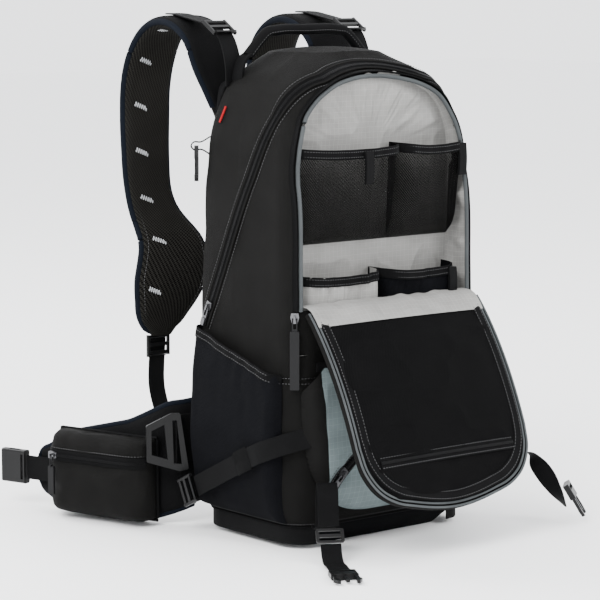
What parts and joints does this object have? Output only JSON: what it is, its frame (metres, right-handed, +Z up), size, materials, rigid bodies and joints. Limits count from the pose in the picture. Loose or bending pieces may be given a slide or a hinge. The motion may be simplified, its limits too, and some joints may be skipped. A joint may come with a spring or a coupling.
{
  "type": "backpack",
  "caption": "Clamshell daypack with an arched front flap hanging open over a tool organiser, padded hip-belt wings with zip pockets, shoulder harness, side pockets and a grab handle.",
  "frame": {"origin": "on the ground under the middle of the base", "axes": "+Z up, +X to the right seen from the outer face, -Y towards the outer face with the organiser, +Y towards the wearer"},
  "size_m": [0.4244, 0.5126, 0.511],
  "materials": {
    "nylon_black": "matte coated nylon",
    "stretch_black": "matte stretch weave",
    "boot_black": "coarse hard-wearing weave",
    "mesh_black": "open mesh",
    "liner_grey": "light ripstop lining",
    "stash_grey": "grey-blue ripstop",
    "binding_grey": "woven zip tape",
    "zip_tape": "reverse coil zip tape",
    "webbing_black": "ribbed webbing",
    "foam_black": "spacer mesh over foam",
    "strap_black": "spacer mesh and nylon over foam",
    "plastic_black": "satin moulded acetal",
    "sheet_plastic": "matte sheet",
    "stay_alloy": "brushed",
    "zip_metal": "satin black",
    "pull_rubber": "matte moulded",
    "handle_cover": "matte woven tube"
  },
  "bodies": {
    "pack": {"bottom_boot": "boot_black", "lower_shell": "nylon_black", "rear_shell": "nylon_black", "front_shell": "nylon_black", "opening_binding": "binding_grey", "zip_tapes": "zip_tape", "organiser_panel": "liner_grey", "mesh_pockets": "mesh_black", "lower_pocket_left": "liner_grey", "lower_pocket_right": "stretch_black", "pocket_hems": "webbing_black", "stash_pocket": "stash_grey", "side_pockets": "stretch_black", "compression_straps": "webbing_black", "compression_locks": "plastic_black", "back_pads": "foam_black", "yoke_panel": "foam_black", "frame_sheet": "sheet_plastic", "frame_stays": "stay_alloy", "sewn_webbing": "webbing_black", "zip_sliders": "zip_metal"},
    "flap": {"flap_panel": "nylon_black", "flap_binding": "binding_grey", "flap_gusset": "liner_grey", "flap_mesh_pocket": "mesh_black", "flap_zip_tape": "zip_tape"},
    "flap_slider": {"flap_zip_slider": "zip_metal"},
    "flap_pull": {"flap_zip_pull": "pull_rubber"},
    "stash_slider": {"stash_zip_slider": "zip_metal"},
    "stash_pull": {"stash_zip_pull": "pull_rubber"},
    "front_pull": {"front_zip_pull": "pull_rubber"},
    "main_pull_left": {"main_zip_pull_left": "pull_rubber"},
    "main_pull_right": {"main_zip_pull_right": "pull_rubber"},
    "handle": {"grab_handle": "handle_cover"},
    "harness": {"shoulder_straps": "strap_black", "load_lifters": "webbing_black", "harness_ladder_locks": "plastic_black", "sternum_housing": "plastic_black"},
    "sternum": {"sternum_prongs": "plastic_black"},
    "wing_left": {"hip_wing_left": "strap_black", "hip_pocket_left": "nylon_black", "hip_hook_left": "plastic_black", "hip_webbing_left": "webbing_black", "belt_buckle_housing": "plastic_black"},
    "hip_slider_left": {"hip_zip_slider_left": "zip_metal"},
    "hip_pull_left": {"hip_zip_pull_left": "pull_rubber"},
    "wing_right": {"hip_wing_right": "strap_black", "hip_pocket_right": "nylon_black", "hip_hook_right": "plastic_black", "hip_webbing_right": "webbing_black", "belt_buckle_prongs": "plastic_black"},
    "hip_slider_right": {"hip_zip_slider_right": "zip_metal"},
    "hip_pull_right": {"hip_zip_pull_right": "pull_rubber"},
    "carry_left": {"carry_strap_left": "webbing_black", "carry_buckle_left": "plastic_black"},
    "carry_right": {"carry_strap_right": "webbing_black", "carry_buckle_right": "plastic_black"},
    "clip": {"clip_hook": "plastic_black"},
    "clip_gate_body": {"clip_gate": "plastic_black"}
  },
  "joints": [
    {"name": "flap_hinge", "type": "hinge", "parent": "pack", "child": "flap", "pos_m": [0, -0.096, 0.233], "axis": [-1, 0, 0], "range_deg": [0, 154]},
    {"name": "flap_zip_travel", "type": "slide", "parent": "flap", "child": "flap_slider", "axis": [1, 0, 0], "range_m": [-0.148, 0]},
    {"name": "flap_pull_flip", "type": "hinge", "parent": "flap_slider", "child": "flap_pull", "pos_m": [0.0736, -0.16886, 0.09274], "axis": [0, 0.4384, 0.8988], "range_deg": [0, 110]},
    {"name": "stash_zip_travel", "type": "hinge", "parent": "pack", "child": "stash_slider", "pos_m": [0, -0.1074, -0.004], "axis": [0, 1, 0], "range_deg": [-12, 96]},
    {"name": "stash_pull_flip", "type": "hinge", "parent": "stash_slider", "child": "stash_pull", "pos_m": [-0.07395, -0.1098, 0.07471], "axis": [-0.682, 0, 0.7314], "range_deg": [0, 90]},
    {"name": "front_pull_flip", "type": "hinge", "parent": "pack", "child": "front_pull", "pos_m": [-0.1159, -0.0859, 0.2256], "axis": [-0.7071, 0.7071, 0], "range_deg": [0, 100]},
    {"name": "main_pull_flip_left", "type": "hinge", "parent": "pack", "child": "main_pull_left", "pos_m": [-0.1251, 0.03681, 0.22564], "axis": [0, 0.9119, 0.4104], "range_deg": [0, 90]},
    {"name": "main_pull_flip_right", "type": "hinge", "parent": "pack", "child": "main_pull_right", "pos_m": [0.1251, 0.03681, 0.22564], "axis": [0, -0.9119, -0.4104], "range_deg": [0, 90]},
    {"name": "handle_swing", "type": "hinge", "parent": "pack", "child": "handle", "pos_m": [0, 0.035, 0.47], "axis": [1, 0, 0], "range_deg": [-50, 50]},
    {"name": "harness_swing", "type": "hinge", "parent": "pack", "child": "harness", "pos_m": [0, 0.08, 0.44], "axis": [1, 0, 0], "range_deg": [-3, 8]},
    {"name": "sternum_release", "type": "slide", "parent": "harness", "child": "sternum", "axis": [1, 0, 0], "range_m": [0, 0.025]},
    {"name": "hip_wing_swing_left", "type": "hinge", "parent": "pack", "child": "wing_left", "pos_m": [-0.098, 0.084, 0.064], "axis": [0, 0, 1], "range_deg": [-35, 4]},
    {"name": "hip_zip_travel_left", "type": "slide", "parent": "wing_left", "child": "hip_slider_left", "axis": [-0.2897, 0.9571, 0], "range_m": [-0.1, 0]},
    {"name": "hip_pull_flip_left", "type": "hinge", "parent": "hip_slider_left", "child": "hip_pull_left", "pos_m": [-0.21032, 0.18568, 0.066], "axis": [-0.2897, 0.9571, 0], "range_deg": [0, 110]},
    {"name": "hip_wing_swing_right", "type": "hinge", "parent": "pack", "child": "wing_right", "pos_m": [0.098, 0.084, 0.064], "axis": [0, 0, 1], "range_deg": [-4, 35]},
    {"name": "hip_zip_travel_right", "type": "slide", "parent": "wing_right", "child": "hip_slider_right", "axis": [0.2897, 0.9571, 0], "range_m": [-0.1, 0]},
    {"name": "hip_pull_flip_right", "type": "hinge", "parent": "hip_slider_right", "child": "hip_pull_right", "pos_m": [0.21032, 0.18568, 0.066], "axis": [-0.2897, -0.9571, 0], "range_deg": [0, 110]},
    {"name": "carry_swing_left", "type": "hinge", "parent": "pack", "child": "carry_left", "pos_m": [-0.1123, -0.13257, 0.03], "axis": [0.866, -0.5, 0], "range_deg": [-60, 0]},
    {"name": "carry_swing_right", "type": "hinge", "parent": "pack", "child": "carry_right", "pos_m": [0.14437, -0.11188, 0.0769], "axis": [0.753, 0.658, 0], "range_deg": [-60, 14]},
    {"name": "clip_swing", "type": "hinge", "parent": "pack", "child": "clip", "pos_m": [-0.11577, 0.06486, 0.3786], "axis": [0.6429, 0.7659, 0], "range_deg": [0, 20]},
    {"name": "clip_gate_swing", "type": "hinge", "parent": "clip", "child": "clip_gate_body", "pos_m": [-0.11943, 0.0605, 0.3687], "axis": [-0.7659, 0.6429, 0], "range_deg": [-24, 0], "stiffness_Nm_per_rad": 0.004}
  ]
}
